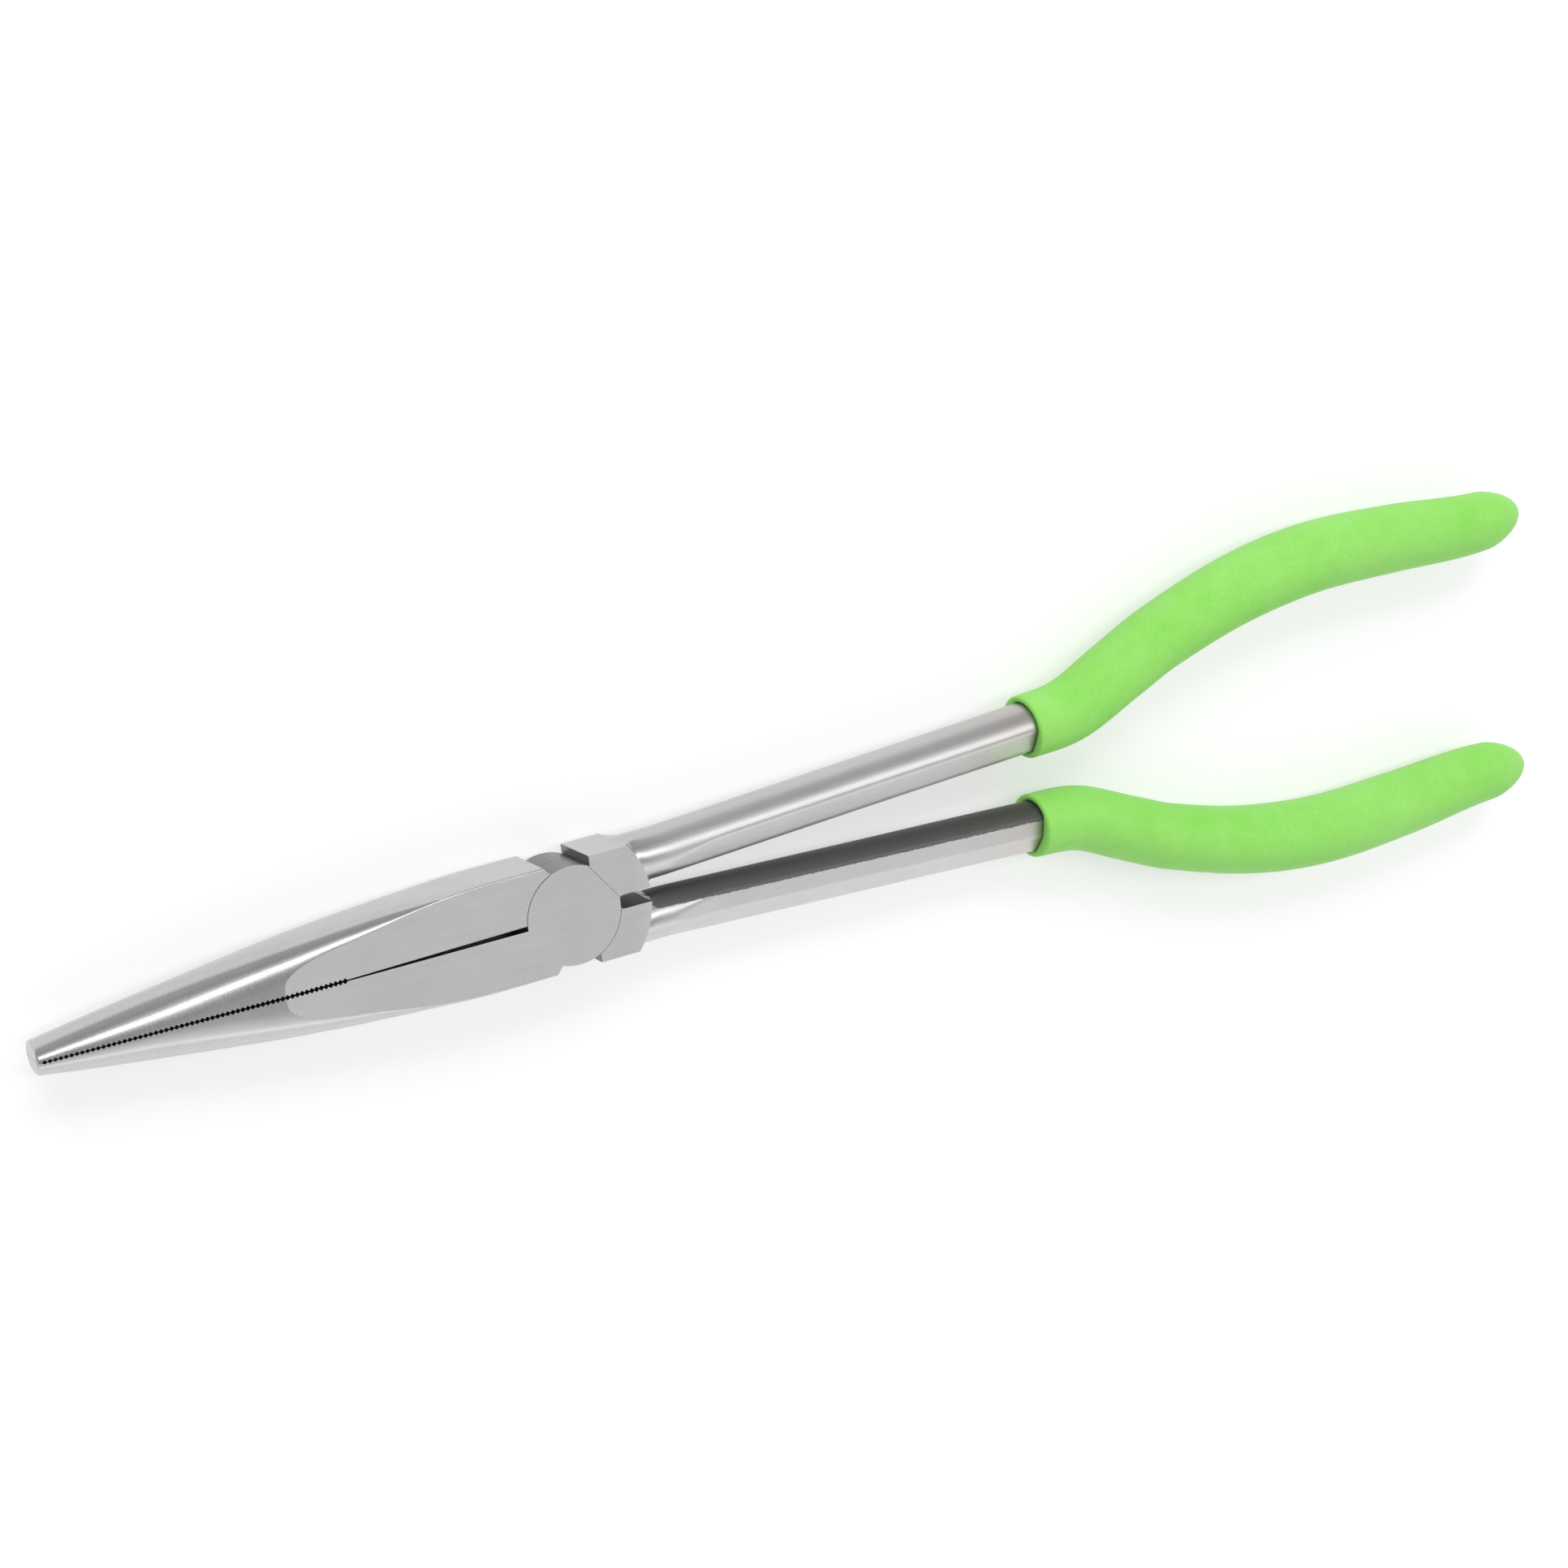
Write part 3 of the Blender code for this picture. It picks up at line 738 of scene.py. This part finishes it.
def mapped_noise(tree, place, scale, detail=2.0, roughness=0.5, offset=(0, 0, 0), turn=0.0):
    """Noise at a place, stretched by a scale along each axis and turned about Z."""
    mapping = tree.nodes.new("ShaderNodeMapping")
    mapping.inputs["Scale"].default_value = scale
    mapping.inputs["Location"].default_value = offset
    mapping.vector_type = "TEXTURE" if turn else "POINT"
    if turn:
        mapping.inputs["Scale"].default_value = [1 / value for value in scale]
    mapping.inputs["Rotation"].default_value = (0, 0, turn)
    tree.links.new(place, mapping.inputs["Vector"])
    noise = tree.nodes.new("ShaderNodeTexNoise")
    noise.inputs["Scale"].default_value = 1.0
    noise.inputs["Detail"].default_value = detail
    noise.inputs["Roughness"].default_value = roughness
    tree.links.new(mapping.outputs[0], noise.inputs["Vector"])
    return noise.outputs["Fac"]


def ramp(tree, value, low, high, out_low=0.0, out_high=1.0):
    made = tree.nodes.new("ShaderNodeMapRange")
    for name, number in (
        ("From Min", low),
        ("From Max", high),
        ("To Min", out_low),
        ("To Max", out_high),
    ):
        made.inputs[name].default_value = number
    tree.links.new(value, made.inputs["Value"])
    return made.outputs[0]


def new_material(name, roughness, metallic):
    made = bpy.data.materials.new(name)
    made.use_nodes = True
    tree = made.node_tree
    shader = tree.nodes["Principled BSDF"]
    shader.inputs["Roughness"].default_value = roughness
    shader.inputs["Metallic"].default_value = metallic
    place = tree.nodes.new("ShaderNodeTexCoord")
    return made, tree, shader, place.outputs["Object"]


def new_group(name, inputs, outputs):
    """An empty node group with named sockets, and the nodes that stand for them inside it."""
    tree = bpy.data.node_groups.new(name, "ShaderNodeTree")
    for socket, kind in inputs:
        tree.interface.new_socket(socket, in_out="INPUT", socket_type=kind)
    for socket, kind in outputs:
        tree.interface.new_socket(socket, in_out="OUTPUT", socket_type=kind)
    return tree, tree.nodes.new("NodeGroupInput"), tree.nodes.new("NodeGroupOutput")


def use_group(tree, group, place, **values):
    made = tree.nodes.new("ShaderNodeGroup")
    made.node_tree = group
    tree.links.new(place, made.inputs["Place"])
    for name, value in values.items():
        made.inputs[name].default_value = value
    return made.outputs


def grain_group():
    """Belt-grinding lines: along the tool on the head and handles, round it on the nose."""
    tree, source, result = new_group(
        "ground_grain",
        [("Place", "NodeSocketVector")],
        [("Grain", "NodeSocketFloat"), ("Scratches", "NodeSocketFloat")],
    )
    place = source.outputs["Place"]
    along = mapped_noise(tree, place, GRAIN_ALONG, 3.0, 0.65)
    across = mapped_noise(tree, place, GRAIN_ROUND_NOSE, 3.0, 0.65)
    split = tree.nodes.new("ShaderNodeSeparateXYZ")
    tree.links.new(place, split.inputs[0])
    nose = ramp(tree, split.outputs[0], *NOSE_GRAIN)
    grain = tree.nodes.new("ShaderNodeMix")
    tree.links.new(nose, grain.inputs[0])
    tree.links.new(along, grain.inputs[2])
    tree.links.new(across, grain.inputs[3])
    tree.links.new(grain.outputs[0], result.inputs["Grain"])
    marks = None
    for i, turn in enumerate(SCRATCH_TURNS):
        lines = mapped_noise(tree, place, SCRATCHES, 1.0, 0.5, (i, i, i), turn)
        lines = ramp(tree, lines, *SCRATCH_LEVELS)
        marks = lines if marks is None else math_node(tree, "MAXIMUM", marks, lines)
    tree.links.new(marks, result.inputs["Scratches"])
    return tree


def mottle_group():
    """Soft cloudy variation of a given size."""
    sizes = [("Spots", "NodeSocketFloat"), ("Detail", "NodeSocketFloat")]
    tree, source, result = new_group(
        "mottle", [("Place", "NodeSocketVector")] + sizes, [("Value", "NodeSocketFloat")]
    )
    noise = tree.nodes.new("ShaderNodeTexNoise")
    noise.inputs["Roughness"].default_value = 0.6
    tree.links.new(source.outputs["Place"], noise.inputs["Vector"])
    tree.links.new(source.outputs["Spots"], noise.inputs["Scale"])
    tree.links.new(source.outputs["Detail"], noise.inputs["Detail"])
    tree.links.new(ramp(tree, noise.outputs["Fac"], 0.28, 0.72), result.inputs["Value"])
    return tree


def mask(tree, name):
    made = tree.nodes.new("ShaderNodeAttribute")
    made.attribute_name = name
    return made.outputs["Fac"]


def add_bump(tree, shader, height, strength, distance):
    bump = tree.nodes.new("ShaderNodeBump")
    bump.inputs["Strength"].default_value = strength
    bump.inputs["Distance"].default_value = distance
    tree.links.new(height, bump.inputs["Height"])
    tree.links.new(bump.outputs[0], shader.inputs["Normal"])


def scaled_colour(tree, colour, factor):
    made = tree.nodes.new("ShaderNodeVectorMath")
    made.operation = "SCALE"
    made.inputs[0].default_value = colour[:3]
    tree.links.new(factor, made.inputs["Scale"])
    return made.outputs[0]


def weighted(tree, *terms):
    """The sum of terms, each a socket and its weight."""
    total = None
    for socket, weight in terms:
        term = math_node(tree, "MULTIPLY", socket, weight)
        total = term if total is None else math_node(tree, "ADD", total, term)
    return total


def steel_material(name, grain, mottle):
    """Satin chrome-vanadium steel: ground cheeks, belt-finished nose and shanks, machine-finished
    faces round the joint painted dark as shade, rough dark forging on the shanks' inner sides,
    painted shade on the toothed faces between the jaws and a tint near the grips."""
    made, tree, shader, place = new_material(name, 0.3, 1.0)
    lines = use_group(tree, grain, place)
    blotch = use_group(tree, mottle, place, Spots=140.0, Detail=4.0)["Value"]
    split = tree.nodes.new("ShaderNodeSeparateXYZ")
    tree.links.new(place, split.inputs[0])
    handle = ramp(tree, split.outputs[0], *HANDLE_FINISH)
    ground = mask(tree, "ground")
    machined_shaded = mask(tree, "machined_shaded")

    tone = ramp(tree, lines["Grain"], *NOISE_SPAN, 0.955, 1.045)
    tone = math_node(tree, "MULTIPLY", tone, ramp(tree, handle, 0.0, 1.0, 1.0, 1.09))
    tone = math_node(tree, "MULTIPLY", tone, ramp(tree, blotch, 0.0, 1.0, 0.97, 1.03))
    tone = math_node(tree, "ADD", tone, math_node(tree, "MULTIPLY", lines["Scratches"], 0.06))
    belt_finish = scaled_colour(tree, STEEL, tone)
    colour = mix_colour(tree, ground, belt_finish, scaled_colour(tree, CHEEK_STEEL, tone))
    heat = ramp(tree, split.outputs[0], *HEAT_TINTED, 0.0, 0.45)
    heat = math_node(tree, "MULTIPLY", heat, ramp(tree, blotch, 0.2, 0.8, 0.4, 1.0))
    colour = mix_colour(tree, heat, colour, HEAT_TINT)
    # painted shade: darkens the walls round the joint and the end faces
    colour = mix_colour(tree, machined_shaded, colour, scaled_colour(tree, MACHINED_SHADED_STEEL, tone))
    # painted shade: the toothed faces between the jaws go near black, as the gap's shade
    colour = mix_colour(tree, mask(tree, "jaw_gap_shade"), colour, JAW_GAP_SHADE)

    ragged = ramp(tree, mapped_noise(tree, place, FORGED_EDGE, 5.0, 0.75), 0.2, 0.8, -0.16, 0.16)
    rough_skin = math_node(tree, "ADD", mask(tree, "forged"), ragged)
    rough_skin = ramp(tree, rough_skin, *FORGED_EDGE_LEVELS)
    speckle = use_group(tree, mottle, place, Spots=5200.0, Detail=2.0)["Value"]
    speckle = weighted(tree, (speckle, 0.5), (lines["Grain"], 0.5))
    scale_colour = mix_colour(tree, speckle, SCALE_DARK, SCALE_LIGHT)
    colour = mix_colour(tree, rough_skin, colour, scale_colour)
    tree.links.new(colour, shader.inputs["Base Color"])

    rough = ramp(tree, lines["Grain"], *NOISE_SPAN, 0.24, 0.29)
    for where, more in ((handle, 0.15), (ground, 0.22), (machined_shaded, 0.12), (rough_skin, 0.22)):
        rough = math_node(tree, "ADD", rough, math_node(tree, "MULTIPLY", where, more))
    tree.links.new(rough, shader.inputs["Roughness"])
    add_bump(tree, shader, lines["Grain"], 0.12, 0.000006)
    return made


def vinyl_material(mottle):
    """Dipped lime-green vinyl: matt, faintly clouded, with a fine skin."""
    made, tree, shader, place = new_material("grip_vinyl_green", 0.5, 0.0)
    cloud = use_group(tree, mottle, place, Spots=330.0, Detail=5.0)["Value"]
    fine = use_group(tree, mottle, place, Spots=1500.0, Detail=3.0)["Value"]
    broad = use_group(tree, mottle, place, Spots=42.0, Detail=2.0)["Value"]
    amount = weighted(tree, (cloud, 0.3), (fine, 0.3), (broad, 0.4))
    tree.links.new(mix_colour(tree, amount, VINYL_DEEP, VINYL_PALE), shader.inputs["Base Color"])
    tree.links.new(ramp(tree, fine, 0.0, 1.0, 0.42, 0.56), shader.inputs["Roughness"])
    shader.inputs["Specular IOR Level"].default_value = 0.28
    add_bump(tree, shader, fine, 0.25, 0.00003)
    return made


def forged_share(place):
    """How far a point on the shank lies inside its rough band, from 0 to 1."""
    slope = (SHANK_END_OFFSET - SHANK_START_OFFSET) / (SHANK_LENGTH - SHANK_START)
    axis = SHANK_START_OFFSET + (place.x - SHANK_START) * slope
    turn = math.degrees(math.atan2(place.z, place.y - axis)) % 360
    band = 0.5 + (FORGED_HALF - abs(turn - FORGED_MIDDLE)) / FORGED_FADE
    return min(max(band, 0.0), 1.0) * smooth_step((place.x - FORGED_START) / FORGED_RUN)


def mark_faces(obj):
    """Writes four masks on the faces' corners: forged, where the steel was left rough along the
    shanks' inner sides and in the crotch; one where the machine-finished walls round the joint and
    the end faces get painted shade; ground, on the cheeks; and one of painted shade on the toothed
    faces between the jaws."""
    mesh = obj.data
    names = ("forged", "machined_shaded", "ground", "jaw_gap_shade")
    for name in names:
        mesh.attributes.new(name, "FLOAT", "CORNER")
    forged, machined_shaded, ground, jaw_gap_shade = (mesh.attributes[name] for name in names)
    for face in mesh.polygons:
        x, y, _ = face.center
        normal = face.normal
        crotch = normal.y < -0.85 and DISC_RADIUS < x < CHEEK_RADIUS
        # walls round the joint and end faces: machine-finished, with painted shade
        round_disc = abs(normal.z) < 0.5 and math.hypot(x, y) < DISC_RADIUS + JOINT_REACH
        end_face = abs(normal.x) > 0.9 and END_FACES[0] < x < END_FACES[1]
        # toothed faces between the jaws: painted shade of the gap
        between_jaws = abs(normal.z) < 0.3 and x < -DISC_RADIUS and abs(y) < JAW_GAP_SHADE_REACH
        for corner in face.loop_indices:
            place = mesh.vertices[mesh.loops[corner].vertex_index].co
            forged.data[corner].value = 1.0 if crotch else forged_share(place)
            machined_shaded.data[corner].value = float((round_disc and not crotch) or end_face)
            ground.data[corner].value = float(abs(normal.z) > FLAT)
            jaw_gap_shade.data[corner].value = float(between_jaws)


# ---------------------------------------------------------------- putting together


def finish(obj, material, crease):
    """Gives the piece its material, and shades it smooth up to the crease's angle and up to the
    edge of each ground cheek."""
    take(obj)
    obj.data.materials.clear()
    obj.data.materials.append(material)
    bpy.ops.object.shade_smooth_by_angle(angle=math.radians(crease))
    sides = {}
    for face in obj.data.polygons:
        for key in face.edge_keys:
            sides.setdefault(key, []).append(abs(face.normal.z) > FLAT)
    for edge in obj.data.edges:
        if len(set(sides.get(tuple(sorted(edge.vertices)), []))) > 1:
            edge.use_edge_sharp = True


def seat(obj, name, body, node_name, turned):
    """Moves the mesh up to the head's middle, turned over for the back half."""
    turn = Matrix.Rotation(math.pi, 4, "X") if turned else Matrix.Identity(4)
    obj.data.transform(Matrix.Translation((0, 0, HALF_THICKNESS)) @ turn)
    obj.name = name
    obj.data.name = name
    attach(obj, body)
    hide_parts(node_name)


def copy_of(obj):
    made = obj.copy()
    made.data = obj.data.copy()
    bpy.context.scene.collection.objects.link(made)
    return made


def set_camera():
    data = bpy.data.cameras.new("camera")
    data.lens = LENS
    data.sensor_width = SENSOR
    data.clip_start = 0.01
    camera = bpy.data.objects.new("camera", data)
    camera.location = CAMERA_PLACE
    camera.rotation_euler = [math.radians(a) for a in CAMERA_TURN]
    bpy.context.scene.collection.objects.link(camera)
    bpy.context.scene.camera = camera


def panel(name, location, target, width, height, power, glossy=True):
    """A soft box facing the target."""
    data = bpy.data.lights.new(name, "AREA")
    data.shape = "RECTANGLE"
    data.size = width
    data.size_y = height
    data.energy = power
    light = bpy.data.objects.new(name, data)
    light.location = location
    light.visible_glossy = glossy
    light.rotation_euler = (Vector(target) - Vector(location)).to_track_quat("-Z", "Y").to_euler()
    bpy.context.scene.collection.objects.link(light)


def set_sky():
    """A studio tent whose brightness runs in bands along the tool, and plain white where the
    camera looks straight at it."""
    world = bpy.data.worlds.new("tent")
    bpy.context.scene.world = world
    world.use_nodes = True
    tree = world.node_tree
    background = tree.nodes["Background"]
    place = tree.nodes.new("ShaderNodeTexCoord")
    split = tree.nodes.new("ShaderNodeSeparateXYZ")
    tree.links.new(place.outputs["Generated"], split.inputs[0])
    height = math_node(tree, "ABSOLUTE", split.outputs[2])
    angle = math_node(tree, "ARCTAN2", height, split.outputs[1])
    share = math_node(tree, "DIVIDE", angle, math.pi)
    bands = tree.nodes.new("ShaderNodeValToRGB")
    bands.color_ramp.interpolation = "EASE"
    stops = bands.color_ramp.elements
    for i, (degrees, light) in enumerate(SKY):
        stop = stops[i] if i < 2 else stops.new(degrees / 180)
        stop.position = degrees / 180
        stop.color = (light, light, light, 1)
    tree.links.new(share, bands.inputs[0])
    direct = tree.nodes.new("ShaderNodeLightPath").outputs["Is Camera Ray"]
    backdrop = mix_colour(tree, direct, bands.outputs[0], WHITE)
    tree.links.new(backdrop, background.inputs["Color"])
    ahead = ramp(tree, split.outputs[0], -0.95, -0.55, SKY_AHEAD, 1.0)
    strength = math_node(tree, "MAXIMUM", ahead, direct)
    tree.links.new(strength, background.inputs["Strength"])


def set_stage():
    deselect()
    floor_height = cad_box[0].z - FLOOR_DROP
    bpy.ops.mesh.primitive_plane_add(size=FLOOR_SIZE, location=(0, 0, floor_height))
    floor = bpy.context.object
    floor.name = "floor"
    made, _, shader, _ = new_material("floor_white", 0.35, 0.0)
    shader.inputs["Base Color"].default_value = FLOOR_GREY
    shader.inputs["Emission Color"].default_value = WHITE
    shader.inputs["Emission Strength"].default_value = FLOOR_GLOW
    floor.data.materials.append(made)
    set_sky()
    panel("strip", (0.30, 0.19, 0.78), (0.30, 0, 0), width=1.4, height=0.15, power=2.4)
    panel("fill", (0.05, 1.3, 0.9), (0.05, 0, 0), width=1.6, height=0.8, power=19, glossy=False)
    bpy.context.scene.view_settings.view_transform = "Standard"


set_camera()
set_stage()
grain = grain_group()
mottle = mottle_group()
steel = steel_material("satin_steel", grain, mottle)
vinyl = vinyl_material(mottle)

lever = make_lever()
mark_faces(lever)
finish(lever, steel, STEEL_CREASE)
seat(copy_of(lever), "lever_back", "back_half", "back_lever", True)
seat(lever, "lever_front", "front_half", "front_lever", False)

grip = make_grip()
finish(grip, vinyl, GRIP_CREASE)
seat(copy_of(grip), "grip_back", "back_half", "back_grip", True)
seat(grip, "grip_front", "front_half", "front_grip", False)

pin = make_rivet()
mark_faces(pin)
finish(pin, steel_material("rivet_steel", grain, mottle), STEEL_CREASE)
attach(pin, "back_half")
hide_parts("rivet")
